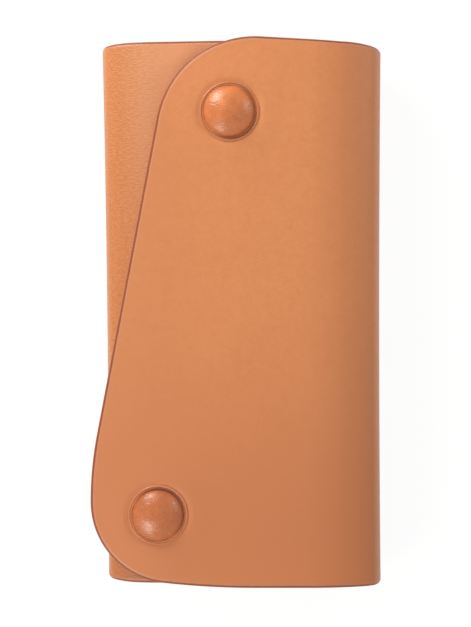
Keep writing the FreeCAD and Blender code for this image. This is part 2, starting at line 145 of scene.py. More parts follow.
# Painted shade on the wing's lower corner
CORNER_SHADE_LOW = (38 * MM, 12 * MM, 0.27)

# Inside of the hide, in the same way, with its depth as a share of the leather's thickness
FLESH_DEPTH = (0.85, 0.15, 1)

# Wear and painted sheen that is even over a piece, or the most that it comes to
FLAP_SHEEN = 0.15
BACK_CRINKLE = 0.4
LEFT_FOLD_CRINKLE = 1.0
RIGHT_FOLD_CRINKLE = 0.1

# Small steps for slopes, and the least lengths that are told from nothing
NUDGE = 0.01 * MM
SLOPE_STEP = 0.05 * MM
ON_LINE = 1e-7
LEAST_LENGTH = 1e-12


def smooth(value):
    """Ease a share from 0 to 1."""
    share = np.clip(value, 0, 1)
    return share * share * (3 - 2 * share)


def grown(place, start, length, most):
    """Return how much wear there is at a place, where it grows over a length from its start to its most."""
    return most * smooth((place - start) / length)


def cut_edge(steps=10, steps_under=4):
    """Return the section of a rounded cut edge, from the face down: inset, depth and tilt of the normal."""
    section = [(EDGE_WIDTH + FACE_MARGIN, 0.0, 0.0)]
    for step in range(steps + 1):
        turn = math.pi / 2 * step / steps
        tilt = math.atan2(math.sin(turn) * EDGE_DEPTH, math.cos(turn) * EDGE_WIDTH)
        section.append((EDGE_WIDTH * (1 - math.sin(turn)), EDGE_DEPTH * (1 - math.cos(turn)), tilt))
    for step in range(steps_under + 1):
        tilt = math.pi / 2 * (1 + step / steps_under)
        depth = LEATHER - EDGE_UNDER * (1 + math.cos(tilt))
        section.append((EDGE_UNDER * (1 - math.sin(tilt)), depth, tilt))
    return section


EDGE = cut_edge()
EDGE_OF_BACK = [(inset, LEATHER - depth, math.pi - tilt) for inset, depth, tilt in EDGE[::-1]]


def tangent_outline(corners, fineness=0.25):
    """Return the line round (x, y, radius) corners, anticlockwise: fine arcs with tangent lines between."""
    normals = []
    for here, ahead in zip(corners, corners[1:] + corners[:1]):
        span = math.hypot(ahead[0] - here[0], ahead[1] - here[1])
        heading = math.atan2(ahead[1] - here[1], ahead[0] - here[0])
        normals.append(heading - math.acos(max(-1, min(1, (here[2] - ahead[2]) / span))))
    points = []
    for index, (x, y, radius) in enumerate(corners):
        turn = (normals[index] - normals[index - 1]) % (2 * math.pi)
        steps = max(1, int(turn / math.radians(fineness))) if radius > 0 else 0
        for step in range(steps + 1):
            angle = normals[index - 1] + turn * step / max(1, steps)
            points.append((x + radius * math.cos(angle), y + radius * math.sin(angle)))
    return np.array(points)


def evenly(points, count):
    """Return points spaced evenly along a line, with both its ends."""
    steps = np.linalg.norm(np.diff(points, axis=0), axis=1)
    along = np.concatenate([[0], np.cumsum(steps)])
    wanted = np.linspace(0, along[-1], count + 1)
    return np.column_stack([np.interp(wanted, along, points[:, axis]) for axis in (0, 1)])


def four_sides(corners, turns, counts):
    """Return a panel's bottom, right, top and left lines, which meet at its four turns."""
    line = tangent_outline(corners)
    marks = []
    for index, degrees in turns:
        x, y, radius = corners[index]
        target_x = x + radius * math.cos(math.radians(degrees))
        target_y = y + radius * math.sin(math.radians(degrees))
        marks.append(int(np.argmin(np.hypot(line[:, 0] - target_x, line[:, 1] - target_y))))
    sides = []
    for number, (first, last) in enumerate(zip(marks, marks[1:] + marks[:1])):
        last = last if last > first else last + len(line)
        span = np.arange(first, last + 1) % len(line)
        sides.append(evenly(line[span], counts[number % 2]))
    return sides


def patch(sides):
    """Fill four sides with a grid of points that follows them all."""
    bottom, right = sides[0], sides[1]
    top, left = sides[2][::-1], sides[3][::-1]
    u = np.linspace(0, 1, len(bottom))[None, :, None]
    v = np.linspace(0, 1, len(left))[:, None, None]
    across = (1 - v) * bottom[None] + v * top[None]
    along = (1 - u) * left[:, None] + u * right[:, None]
    low = (1 - u) * bottom[0] + u * bottom[-1]
    high = (1 - u) * top[0] + u * top[-1]
    return across + along - (1 - v) * low - v * high


def place_in_scene(name, data):
    """Put a mesh, a curve, a lamp or a camera in the scene as an object of its own."""
    placed = bpy.data.objects.new(name, data)
    bpy.context.scene.collection.objects.link(placed)
    return placed


def set_attributes(mesh, attributes):
    """Give a mesh named point attributes, each of plain values or of vectors."""
    for label, values in attributes.items():
        kind, field = ("FLOAT_VECTOR", "vector") if values.ndim == 2 else ("FLOAT", "value")
        layer = mesh.attributes.new(label, kind, "POINT")
        layer.data.foreach_set(field, values.astype(np.float32).ravel())


def make_piece(name, points, faces, normals, attributes, material):
    """Make a mesh object with its own normals and named point attributes."""
    mesh = bpy.data.meshes.new(name)
    mesh.from_pydata(points.tolist(), [], faces)
    mesh.polygons.foreach_set("use_smooth", [True] * len(mesh.polygons))
    set_attributes(mesh, attributes)
    mesh.normals_split_custom_set_from_vertices(normals.tolist())
    mesh.materials.append(material)
    return place_in_scene(name, mesh)


def evaluated_mesh(holder):
    """Return the finished mesh of an object with a curve or a modifier, and take the object away."""
    bpy.context.view_layer.update()
    mesh = bpy.data.meshes.new_from_object(holder.evaluated_get(bpy.context.evaluated_depsgraph_get()))
    bpy.data.objects.remove(holder)
    return mesh


def sag_into(out, level, start, rise, axis, radius):
    """Return how far the upper side of a panel sinks, where it eases into a fold along an ellipse."""
    wide = np.clip((out - start) / (axis + radius - start), 0, SAG_LIMIT)
    tight = np.clip((out - axis) / radius, 0, SAG_LIMIT)
    gap = rise * (1 - np.sqrt(1 - wide ** 2)) - radius * (1 - np.sqrt(1 - tight ** 2))
    gap = np.maximum(gap, 0)
    return gap ** 2 / (gap + SAG_BLEND) * smooth((level / radius - SAG_LEVEL) / SAG_FADE)


def lean_left(points):
    """Return how the left fold leans out at the top and in at the bottom, and how the wing sags into it."""
    x, y, z = points.T
    offset = np.zeros_like(points)
    share = 1 - smooth((x - LEFT_AXIS) / EASE)
    along = y / FLAP_END
    offset[:, 0] = share * (LEFT_WAIST * (1 - along ** 2) - LEFT_LEAN * along - LEFT_FLARE * along ** 2)
    offset[:, 2] = -sag_into(-x, z, WING_SAG_START, WING_SAG_RISE, -LEFT_AXIS, LEFT_RADIUS)
    return offset


def ease_right(points):
    """Return how the right fold draws in at mid length, and how the flap sags into it."""
    x, y, z = points.T
    offset = np.zeros_like(points)
    share = smooth((x - RIGHT_AXIS + EASE) / EASE)
    offset[:, 0] = -RIGHT_WAIST * share * (1 - (y / FLAP_END) ** 2)
    offset[:, 2] = -sag_into(x, z, SAG_START, SAG_RISE, RIGHT_AXIS, RIGHT_RADIUS)
    return offset


def soften(points, normals, *shifts):
    """Move points by soft shifts, and turn their normals to suit."""
    for shift in shifts:
        stretch = np.tile(np.eye(3), (len(points), 1, 1))
        for axis in range(3):
            side_step = NUDGE * np.eye(3)[axis]
            stretch[:, :, axis] += (shift(points + side_step) - shift(points - side_step)) / (2 * NUDGE)
        normals = np.einsum("nji,nj->ni", np.linalg.inv(stretch), normals)
        points = points + shift(points)
    return points, normals / np.linalg.norm(normals, axis=1)[:, None]


def crinkle_of(points):
    """Return how crinkled the hide is: most at the left fold, less under the flap."""
    return 1 - grown(points[:, 0] - LEFT_AXIS, *CRINKLE_FADES)


def painted_sheen_of(points):
    """Return the wing's painted sheen: paler hide towards the flap's edge, and more at the top."""
    return grown(points[:, 0] - LEFT_AXIS, *SHEEN_ACROSS) * grown(points[:, 1], *SHEEN_ALONG)


def painted_flap_shade_of(points):
    """Return the flap's painted shade: darker towards its lower end, its fold and its free edge."""
    low = grown(-points[:, 1], *FLAP_SHADE_LOW)
    sides = grown(points[:, 0], *FLAP_SHADE_OUTER) + grown(-points[:, 0], *FLAP_SHADE_INNER)
    return low + sides - low * sides


def painted_corner_shade_of(points):
    """Return the painted shade that darkens the wing's lower corner, below the flap."""
    return grown(-points[:, 1], *CORNER_SHADE_LOW)


def flesh_of(depth):
    """Return where the inside of the hide shows, by depth below its face."""
    return grown(depth / LEATHER, *FLESH_DEPTH)


def leather_panel(outline, turns, counts, top, section, fold_lines, blank_of, lift=None):
    """Work out a flat panel of leather with burnished edges, open to the folds that it runs into."""
    rings = [four_sides(outline(spot[0]), turns, counts) for spot in section]
    face = patch(rings[0])
    under = patch(rings[-1])
    rows, columns = face.shape[:2]
    total = rows * columns
    grid = np.arange(total).reshape(rows, columns)
    loop = np.concatenate([grid[0, :-1], grid[:-1, -1], grid[-1, :0:-1], grid[:0:-1, 0]])
    size = len(loop)
    face_z = np.full((total, 1), top - section[0][1])
    under_z = np.full((total, 1), top - section[-1][1])
    points = [np.hstack([face.reshape(-1, 2), face_z])]
    normals = [np.tile([0.0, 0.0, 1.0], (total, 1))]
    edge = [np.full(total, section[0][0])]
    if lift is not None:
        x, y = points[0][:, 0], points[0][:, 1]
        points[0][:, 2] += lift(x, y)
        normals[0][:, 0] = (lift(x - SLOPE_STEP, y) - lift(x + SLOPE_STEP, y)) / (2 * SLOPE_STEP)
        normals[0][:, 1] = (lift(x, y - SLOPE_STEP) - lift(x, y + SLOPE_STEP)) / (2 * SLOPE_STEP)
    loops = [loop]
    for (inset, depth, tilt), ring in list(zip(section, rings))[1:-1]:
        line = np.concatenate([side[:-1] for side in ring])
        ahead = np.roll(line, -1, axis=0) - np.roll(line, 1, axis=0)
        outward = np.column_stack([ahead[:, 1], -ahead[:, 0]])
        for fold in fold_lines:
            outward[np.abs(line[:, 0] - fold) < ON_LINE, 0] = 0
        outward /= np.maximum(np.linalg.norm(outward, axis=1), LEAST_LENGTH)[:, None]
        points.append(np.column_stack([line, np.full(size, top - depth)]))
        normals.append(np.column_stack([outward * math.sin(tilt), np.full(size, math.cos(tilt))]))
        edge.append(np.full(size, inset))
        loops.append(np.arange(size) + total + size * (len(loops) - 1))
    first_under = total + size * (len(loops) - 1)
    points.append(np.hstack([under.reshape(-1, 2), under_z]))
    normals.append(np.tile([0.0, 0.0, -1.0], (total, 1)))
    edge.append(np.full(total, section[-1][0]))
    loops.append(loop + first_under)
    points = np.vstack(points)
    normals = np.vstack(normals)
    corners = [grid[:-1, :-1], grid[:-1, 1:], grid[1:, 1:], grid[1:, :-1]]
    quads = np.stack(corners, axis=-1).reshape(-1, 4)
    faces = [quads, quads[:, ::-1] + first_under]
    for upper, lower in zip(loops, loops[1:]):
        faces.append(np.stack([upper, lower, np.roll(lower, -1), np.roll(upper, -1)], axis=-1))
    faces = np.vstack(faces).tolist()
    attributes = {"edge": np.concatenate(edge) / MM, "blank": blank_of(points)}
    return points, faces, normals, attributes


def fold_piece(side, axis, radius, degrees, ends_of, count, steps=14):
    """Work out one stretch of a fold: leather rolled about a line along Y, between two angles."""
    points = []
    normals = []
    edge = []
    blank = []
    share = np.linspace(0, 1, count + 1)
    face, under = EDGE[0], EDGE[-1]
    for step in range(steps + 1):
        turn = math.radians(degrees[0] + (degrees[1] - degrees[0]) * step / steps)
        low, high = ends_of(turn)
        radial = np.array([side * math.sin(turn), 0, -math.cos(turn)])
        across = axis + side * radius * turn
        rows = []
        for part in share:
            rows.append((low + face[0] + part * (high - low - 2 * face[0]), face, 1))
        for spot in EDGE[1:-1]:
            rows.append((high - spot[0], spot, 1))
        for part in share[::-1]:
            rows.append((low + under[0] + part * (high - low - 2 * under[0]), under, 1))
        for spot in EDGE[-2:0:-1]:
            rows.append((low + spot[0], spot, -1))
        for y, (inset, depth, tilt), facing in rows:
            reach = radius - depth
            points.append((axis + side * reach * math.sin(turn), y, radius - reach * math.cos(turn)))
            normals.append(radial * math.cos(tilt) + np.array([0, facing * math.sin(tilt), 0]))
            edge.append(inset / MM)
            blank.append((across, y, depth))
        size = len(rows)
    ids = np.arange(len(points)).reshape(steps + 1, size)
    ahead = np.roll(ids, -1, axis=1)
    faces = np.stack([ids[:-1], ahead[:-1], ahead[1:], ids[1:]], axis=-1).reshape(-1, 4)
    ends = [ids[0][::-1].tolist(), ids[-1].tolist()]
    faces = faces.tolist() + ends
    if side < 0:
        faces = [corners[::-1] for corners in faces]
    blank = np.array(blank)
    attributes = {"edge": np.array(edge), "flesh": flesh_of(blank[:, 2]), "blank": blank}
    return np.array(points), faces, np.array(normals), attributes


def linear(colour):
    """Turn an sRGB hex colour into linear red, green, blue and alpha."""
    channels = []
    for place in (1, 3, 5):
        value = int(colour[place:place + 2], 16) / 255
        channels.append(value / 12.92 if value <= 0.04045 else ((value + 0.055) / 1.055) ** 2.4)
    return channels + [1.0]


def per(size):
    """Return the pattern scale for a size in millimetres."""
    return 1 / (size * MM)


def add(tree, kind, inputs=None, **settings):
    """Add a node with its settings, and set or link its inputs by name or number."""
    node = tree.nodes.new(kind)
    for label, value in settings.items():
        setattr(node, label, value)
    for key, value in (inputs or {}).items():
        if isinstance(value, bpy.types.NodeSocket):
            tree.links.new(value, node.inputs[key])
        else:
            node.inputs[key].default_value = value
    return node


def new_material(name):
    """Return an empty node material and its tree."""
    material = bpy.data.materials.new(name)
    material.use_nodes = True
    material.node_tree.nodes.clear()
    return material, material.node_tree


# Colours that wear and burnishing give the hide, those painted as shade, sheen and highlight, and those of
# its inside
# Darker hide, painted as shade on the flap and right fold, and the bead's own tone on the caps
SHADE_AND_BEAD_HIDE = "#c3784b"
# Deeper hide of crinkles, made deeper on the left fold as painted shade
CRINKLED_AND_SHADED_HIDE = "#ba713a"
# Pale pink of the painted sheen
PAINTED_SHEEN_HIDE = "#f0b48f"
# Pinker line inside the cut edge: a worn line and a painted highlight of the rounded edge
WORN_EDGE_AND_HIGHLIGHT = "#b98468"
# Dark brown of the burnished edge, also laid as painted shade
BURNT_EDGE_AND_SHADE = "#8a4018"
FLESH_DARK = "#8f6547"
FLESH_LIGHT = "#c79a73"

# Noises of the hide: size in millimetres, detail and roughness. Real fibres are finer and would not show.
HIDE_NOISES = {
    "clouds": (16, 3.0, 0.55),
    "mottle": (2.4, 4.0, 0.6),
    "spots": (1.3, 2.0, 0.5),
    "fibre": (0.5, 3.0, 0.65),
}

# Pores and creases of the hide in millimetres, as coarse as they need to be to show
PORE_SIZE = 0.6
CREASE_SPACING = 0.33
CREASE_LENGTH = 0.9

# Shares of the noises in the hide's tone, from its light to its deep colour
TONE_SHARES = {"clouds": 0.5, "mottle": 0.9, "fibre": 0.9}
CLOUD_SHIFT = -0.25
TONE_SHIFT = -0.4

# Shares of deeper bent hide where it is crinkled, which on the left fold is also painted shade, of painted
# sheen, and what the ridges of its creases add
BENT_SHARE = 0.85
BENT_ON_RIDGE = -0.25
SHEEN_SHARE = 0.3
PALE_ON_RIDGE = 0.12

# Worn line, which is also a painted highlight of the rounded edge, and burnish along a cut edge:
# millimetres from the edge where each starts and where it is full
WORN_START = 1.2
WORN_FULL = 0.75
WORN_SHARE = 0.36
BURNT_START = 0.6
BURNT_FULL = 0.42
EDGE_WANDER = 0.2

# Roughness that mottling and the inside add, and heights of the relief's parts
MOTTLE_ROUGHNESS = 0.16
FLESH_ROUGHNESS = 0.4
PORE_HEIGHT = 0.5
FIBRE_HEIGHT = 0.8
CREASE_HEIGHT = 1.2


def tanned_leather(name, light, deep, roughness, grain, wrinkle, wax, shine, sheen, speckle):
    """Vegetable-tanned cowhide: a smooth waxed face with fine pores and slow clouding.

    The eye sees a warm satin tan, a pale worn line that also carries a painted highlight inside dark
    burnished edges, fine creases where the hide was bent, and paler matt fibres on the inside. Painted
    shade and painted sheen come from the mesh's attributes.
    """
    material, tree = new_material(name)
    blank = add(tree, "ShaderNodeAttribute", attribute_name="blank").outputs["Vector"]
    wear = {}
    for label in ("edge", "flesh", "crinkle", "pale", "shade_and_bead_tone", "painted_shade"):
        wear[label] = add(tree, "ShaderNodeAttribute", attribute_name=label).outputs["Fac"]
    noise = {}
    for label, (size, detail, fineness) in HIDE_NOISES.items():
        inputs = {"Vector": blank, "Scale": per(size), "Detail": detail, "Roughness": fineness}
        noise[label] = add(tree, "ShaderNodeTexNoise", inputs).outputs[0]
    pores = add(tree, "ShaderNodeTexVoronoi", {
        "Vector": blank, "Scale": per(PORE_SIZE), "Randomness": 1.0}).outputs["Distance"]
    drawn = add(tree, "ShaderNodeMapping", {
        "Vector": blank, "Scale": (per(CREASE_LENGTH), per(CREASE_SPACING), per(CREASE_LENGTH))}).outputs[0]
    ripple = add(tree, "ShaderNodeTexNoise", {
        "Vector": drawn, "Scale": 1.0, "Detail": 2.0, "Roughness": 0.5, "Distortion": 0.3}).outputs[0]
    ridge = add(tree, "ShaderNodeMapRange", {
        "Value": ripple, "From Min": 0.38, "From Max": 0.66}).outputs[0]
    crease = add(tree, "ShaderNodeMath", {0: ridge, 1: wear["crinkle"]}, operation="MULTIPLY").outputs[0]

    tone = CLOUD_SHIFT
    for label, share in TONE_SHARES.items():
        tone = add(tree, "ShaderNodeMath", {0: noise[label], 1: share, 2: tone},
                   operation="MULTIPLY_ADD").outputs[0]
    spots = add(tree, "ShaderNodeMapRange", {
        "Value": noise["spots"], "From Min": 0.3, "From Max": 0.7,
        "To Min": -speckle, "To Max": speckle}).outputs[0]
    tone = add(tree, "ShaderNodeMath", {0: tone, 1: spots}, operation="ADD").outputs[0]
    tone = add(tree, "ShaderNodeMath", {0: tone, 1: TONE_SHIFT}, operation="ADD", use_clamp=True).outputs[0]

    # Crinkled hide deepens; on the left fold this also serves as painted shade
    bent = add(tree, "ShaderNodeMath", {0: wear["crinkle"], 1: BENT_SHARE}, operation="MULTIPLY").outputs[0]
    bent = add(tree, "ShaderNodeMath", {0: crease, 1: BENT_ON_RIDGE, 2: bent},
               operation="MULTIPLY_ADD").outputs[0]
    # Painted sheen from the pale attribute, with paler ridges of the creases
    pale = add(tree, "ShaderNodeMath", {0: wear["pale"], 1: SHEEN_SHARE}, operation="MULTIPLY").outputs[0]
    pale = add(tree, "ShaderNodeMath", {0: crease, 1: PALE_ON_RIDGE, 2: pale},
               operation="MULTIPLY_ADD", use_clamp=True).outputs[0]
    ragged = add(tree, "ShaderNodeMath", {0: noise["mottle"], 1: EDGE_WANDER, 2: -EDGE_WANDER / 2},
                 operation="MULTIPLY_ADD").outputs[0]
    ragged = add(tree, "ShaderNodeMath", {0: ragged, 1: wear["edge"]}, operation="ADD").outputs[0]
    # The pinker band is a worn line and a painted highlight
    rubbed = add(tree, "ShaderNodeMapRange", {
        "Value": ragged, "From Min": WORN_START, "From Max": WORN_FULL, "To Max": WORN_SHARE}).outputs[0]
    burnish_and_shade = add(tree, "ShaderNodeMapRange", {
        "Value": ragged, "From Min": BURNT_START, "From Max": BURNT_FULL}).outputs[0]
    # The painted shade attribute lays the same dark brown as painted shade
    burnish_and_shade = add(tree, "ShaderNodeMath", {0: burnish_and_shade, 1: wear["painted_shade"]}, operation="MAXIMUM").outputs[0]

    hide = add(tree, "ShaderNodeMix", {0: tone, 6: linear(light), 7: linear(deep)},
               data_type="RGBA").outputs[2]
    # Over the hide's tone: painted shade of the flap, deeper crinkled hide, painted sheen, worn line with
    # painted highlight, burnish with painted shade
    layers = (
        (wear["shade_and_bead_tone"], SHADE_AND_BEAD_HIDE),
        (bent, CRINKLED_AND_SHADED_HIDE),
        (pale, PAINTED_SHEEN_HIDE),
        (rubbed, WORN_EDGE_AND_HIGHLIGHT),
        (burnish_and_shade, BURNT_EDGE_AND_SHADE),
    )
    for share, colour in layers:
        hide = add(tree, "ShaderNodeMix", {0: share, 6: hide, 7: linear(colour)},
                   data_type="RGBA").outputs[2]
    nap = add(tree, "ShaderNodeMix", {0: noise["fibre"], 6: linear(FLESH_DARK), 7: linear(FLESH_LIGHT)},
              data_type="RGBA").outputs[2]
    hide = add(tree, "ShaderNodeMix", {0: wear["flesh"], 6: hide, 7: nap}, data_type="RGBA").outputs[2]

    rough = add(tree, "ShaderNodeMath", {
        0: noise["mottle"], 1: MOTTLE_ROUGHNESS, 2: roughness - MOTTLE_ROUGHNESS / 2},
        operation="MULTIPLY_ADD").outputs[0]
    rough = add(tree, "ShaderNodeMath", {0: wear["flesh"], 1: FLESH_ROUGHNESS, 2: rough},
                operation="MULTIPLY_ADD", use_clamp=True).outputs[0]
    relief = 0.0
    heights = (
        (pores, PORE_HEIGHT),
        (noise["fibre"], FIBRE_HEIGHT),
        (crease, CREASE_HEIGHT),
        (ridge, wrinkle),
    )
    for part, height in heights:
        relief = add(tree, "ShaderNodeMath", {0: part, 1: height, 2: relief},
                     operation="MULTIPLY_ADD").outputs[0]
    bump = add(tree, "ShaderNodeBump", {
        "Strength": 0.5, "Distance": grain * MM, "Height": relief}).outputs[0]
    shader = add(tree, "ShaderNodeBsdfPrincipled", {
        "Base Color": hide, "Roughness": rough, "Normal": bump, "IOR": 1.45, "Specular IOR Level": shine,
        "Sheen Weight": sheen, "Sheen Roughness": 0.3, "Coat Weight": wax, "Coat Roughness": 0.3,
        "Coat Normal": bump})
    add(tree, "ShaderNodeOutputMaterial", {"Surface": shader.outputs[0]})
    return material


# Lining: colours, sizes in millimetres of its fibres and brushed patches, and their shares in its tone
SUEDE_DARK = "#8a6345"
SUEDE_LIGHT = "#c29a76"
NAP_SIZE = 0.35
BRUSHED_SIZE = 6
NAP_TONE = 0.6
BRUSHED_TONE = 0.4
NAP_RELIEF = 0.12 * MM


def split_leather(name):
    """Split suede lining: short matt fibres with a soft nap that catches light at a grazing angle."""
    material, tree = new_material(name)
    place = add(tree, "ShaderNodeTexCoord").outputs["Object"]
    nap = add(tree, "ShaderNodeTexNoise", {
        "Vector": place, "Scale": per(NAP_SIZE), "Detail": 4.0, "Roughness": 0.7}).outputs[0]
    brushed = add(tree, "ShaderNodeTexNoise", {
        "Vector": place, "Scale": per(BRUSHED_SIZE), "Detail": 3.0, "Roughness": 0.5}).outputs[0]
    tone = add(tree, "ShaderNodeMath", {0: nap, 1: NAP_TONE}, operation="MULTIPLY").outputs[0]
    tone = add(tree, "ShaderNodeMath", {0: brushed, 1: BRUSHED_TONE, 2: tone},
               operation="MULTIPLY_ADD").outputs[0]
    colour = add(tree, "ShaderNodeMix", {0: tone, 6: linear(SUEDE_DARK), 7: linear(SUEDE_LIGHT)},
                 data_type="RGBA").outputs[2]
    bump = add(tree, "ShaderNodeBump", {
        "Strength": 0.5, "Distance": NAP_RELIEF, "Height": nap}).outputs[0]
    shader = add(tree, "ShaderNodeBsdfPrincipled", {
        "Base Color": colour, "Roughness": 0.92, "Normal": bump, "Sheen Weight": 0.25,
        "Sheen Roughness": 0.5})
    add(tree, "ShaderNodeOutputMaterial", {"Surface": shader.outputs[0]})
    return material


# Metal: size in millimetres of its haze, how much longer than wide its scratches are, and their depth
HAZE_SIZE = 2.5
SCRATCH_STRETCH = 6
SCRATCH_DEPTH = 0.02 * MM


def plated_metal(name, bright, dull, smoothest, roughest, grit):
    """Plated or drawn steel: a mirror-like face with fine rubbed scratches and a faint waviness."""
    material, tree = new_material(name)
    place = add(tree, "ShaderNodeTexCoord").outputs["Object"]
    rubbed = add(tree, "ShaderNodeMapping", {
        "Vector": place, "Scale": (per(grit), per(SCRATCH_STRETCH * grit), per(grit))}).outputs[0]
    scratch = add(tree, "ShaderNodeTexNoise", {"Vector": rubbed, "Scale": 1.0, "Detail": 3.0}).outputs[0]
    haze = add(tree, "ShaderNodeTexNoise", {
        "Vector": place, "Scale": per(HAZE_SIZE), "Detail": 2.0}).outputs[0]
    colour = add(tree, "ShaderNodeMix", {0: haze, 6: linear(bright), 7: linear(dull)},
                 data_type="RGBA").outputs[2]
    rough = add(tree, "ShaderNodeMapRange", {
        "Value": scratch, "From Min": 0.3, "From Max": 0.7,
        "To Min": smoothest, "To Max": roughest}).outputs[0]
    bump = add(tree, "ShaderNodeBump", {
        "Strength": 0.12, "Distance": SCRATCH_DEPTH, "Height": scratch}).outputs[0]
    shader = add(tree, "ShaderNodeBsdfPrincipled", {
        "Base Color": colour, "Roughness": rough, "Metallic": 1.0, "Normal": bump})
    add(tree, "ShaderNodeOutputMaterial", {"Surface": shader.outputs[0]})
    return material


hide_leather = tanned_leather(
    "vegetable_tanned_leather", "#df915d", "#ce8351", roughness=0.46, grain=0.05, wrinkle=0.0, wax=0.0,
    shine=0.5, sheen=0.3, speckle=0.1)
moulded_leather = tanned_leather(
    "wet_moulded_leather", "#e17c3a", "#bf682f", roughness=0.48, grain=0.085, wrinkle=0.25, wax=1.0,
    shine=0.2, sheen=0.0, speckle=0.36)
suede = split_leather("split_suede_lining")
nickel = plated_metal(
    "nickel_plated_steel", "#b9b4aa", "#a39d92", smoothest=0.14, roughest=0.3, grit=0.08)
spring_steel = plated_metal(
    "drawn_spring_steel", "#a9a9a8", "#8f9091", smoothest=0.25, roughest=0.42, grit=0.05)
plain_steel = plated_metal(
    "plain_steel_washer", "#9b9a98", "#858483", smoothest=0.35, roughest=0.55, grit=0.06)


def flap_outline(inset, start=RIGHT_AXIS):
    """Return the flap's corners, drawn in by an inset."""
    low_x = FLAP_LEFT + FLAP_LOW_RADIUS
    low_y = -FLAP_END + FLAP_LOW_LIFT + FLAP_LOW_RADIUS
    belly_reach = math.sqrt(FLAP_LOW_LIFT * (2 * (FLAP_BELLY_RADIUS - FLAP_LOW_RADIUS) - FLAP_LOW_LIFT))
    return [
        (start, RIGHT_ENDS[0] + inset, 0),
        (start, RIGHT_ENDS[1] - inset, 0),
        (FLAP_PEAK, FLAP_END - FLAP_TOP_RADIUS, FLAP_TOP_RADIUS - inset),
        (FLAP_LEFT + FLAP_BEND_RADIUS, low_y, FLAP_BEND_RADIUS - inset),
        (low_x, low_y, FLAP_LOW_RADIUS - inset),
        (low_x + belly_reach, -FLAP_END + FLAP_BELLY_RADIUS, FLAP_BELLY_RADIUS - inset),
    ]


def wing_outline(inset, start=LEFT_AXIS):
    """Return the wing's corners, with its free edge past both snaps."""
    slope = (UPPER_SNAP.x - LOWER_SNAP.x) / (UPPER_SNAP.y - LOWER_SNAP.y)
    reach = (WING_MARGIN - WING_CORNER) * math.hypot(1, slope)
    low_y = LEFT_ENDS[0] + WING_CORNER
    high_y = FLAP_END - WING_TOP_DROP - WING_CORNER
    return [
        (start, LEFT_ENDS[0] + inset, 0),
        (LOWER_SNAP.x + slope * (low_y - LOWER_SNAP.y) + reach, low_y, WING_CORNER - inset),
        (UPPER_SNAP.x + slope * (high_y - UPPER_SNAP.y) + reach, high_y, WING_CORNER - inset),
        (start, LEFT_ENDS[1] - inset, 0),
    ]


def back_outline(inset, draw_in=0.0):
    """Return the flat back's corners between the two folds."""
    return [
        (LEFT_AXIS + draw_in, LEFT_ENDS[0] + LEFT_FOLD_DROP + inset, 0),
        (RIGHT_AXIS - draw_in, RIGHT_ENDS[0] - RIGHT_FOLD_SLIP + inset, 0),
        (RIGHT_AXIS - draw_in, RIGHT_ENDS[1] - RIGHT_FOLD_DROP - inset, 0),
        (LEFT_AXIS + draw_in, LEFT_ENDS[1] - LEFT_FOLD_DROP - inset, 0),
    ]


def right_ends_at(turn):
    """Return the ends of the right fold, which slope down from the flap round to the back."""
    share = smooth((math.pi - turn) / (math.pi / 2))
    return RIGHT_ENDS[0] - RIGHT_FOLD_SLIP * share, RIGHT_ENDS[1] - RIGHT_FOLD_DROP * share


def left_ends_at(turn):
    """Return the ends of the left fold, which draw in from the wing round to the back."""
    drop = LEFT_FOLD_DROP * smooth((math.pi - turn) / (math.pi / 2))
    return LEFT_ENDS[0] + drop, LEFT_ENDS[1] - drop


def moulded_shoulder(x, y):
    """Return how far the flap swells round the two caps pressed through it, or sinks below them."""
    height = np.zeros_like(x)
    for snap in SNAPS:
        reach = np.hypot(x - snap.x, y - snap.y)
        rise = smooth((reach - SHOULDER_FOOT) / SHOULDER_RISE)
        fall = 1 - smooth((reach - SHOULDER_CREST) / SHOULDER_FALL)
        seat = 1 - smooth((reach - SEAT_RADIUS) / SEAT_RIM)
        height = height + SHOULDER * rise * fall - CAP_SEAT * seat
    return height


def blank_of_flap(points):
    """Return places on the flat blank, beyond the right fold."""
    across = RIGHT_AXIS + math.pi * RIGHT_RADIUS + (RIGHT_AXIS - points[:, 0])
    return np.column_stack([across, points[:, 1], FLAP_TOP - points[:, 2]])


def blank_of_wing(points):
    """Return places on the flat blank, beyond the left fold."""
    across = LEFT_AXIS - math.pi * LEFT_RADIUS - (points[:, 0] - LEFT_AXIS)
    return np.column_stack([across, points[:, 1], WING_TOP - points[:, 2]])


# Where the four sides of each panel meet, as an outline corner and an angle on its arc
FLAP_TURNS = [(4, 225), (0, 0), (1, 0), (2, 130)]
WING_TURNS = [(0, 0), (1, -50), (2, 40), (3, 0)]
BACK_TURNS = [(0, 0), (1, 0), (2, 0), (3, 0)]

# Steps of each panel's grid, across and along
FLAP_COUNTS = (104, 224)
WING_COUNTS = (64, 200)
BACK_COUNTS = (60, 224)

# Front flap
points, faces, normals, attributes = leather_panel(
    flap_outline, FLAP_TURNS, FLAP_COUNTS, FLAP_TOP, EDGE, [RIGHT_AXIS], blank_of_flap, moulded_shoulder)
attributes["flesh"] = flesh_of(FLAP_TOP - points[:, 2])
# Painted sheen at the flap's left
attributes["pale"] = FLAP_SHEEN * (1 - grown(points[:, 0] - FLAP_LEFT, *FLAP_SHEEN_FADES))
# Painted shade towards the flap's lower end, fold and free edge
attributes["shade_and_bead_tone"] = painted_flap_shade_of(points)
points, normals = soften(points, normals, ease_right)
flap = make_piece("front_flap", points, faces, normals, attributes, hide_leather)
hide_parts("flap_outer")
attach(flap, "flap")

# Wing under the flap
points, faces, normals, attributes = leather_panel(
    wing_outline, WING_TURNS, WING_COUNTS, WING_TOP, EDGE, [LEFT_AXIS], blank_of_wing)
attributes["flesh"] = flesh_of(WING_TOP - points[:, 2])
attributes["crinkle"] = crinkle_of(points)
# Painted sheen towards the flap's edge and the top
attributes["pale"] = painted_sheen_of(points)
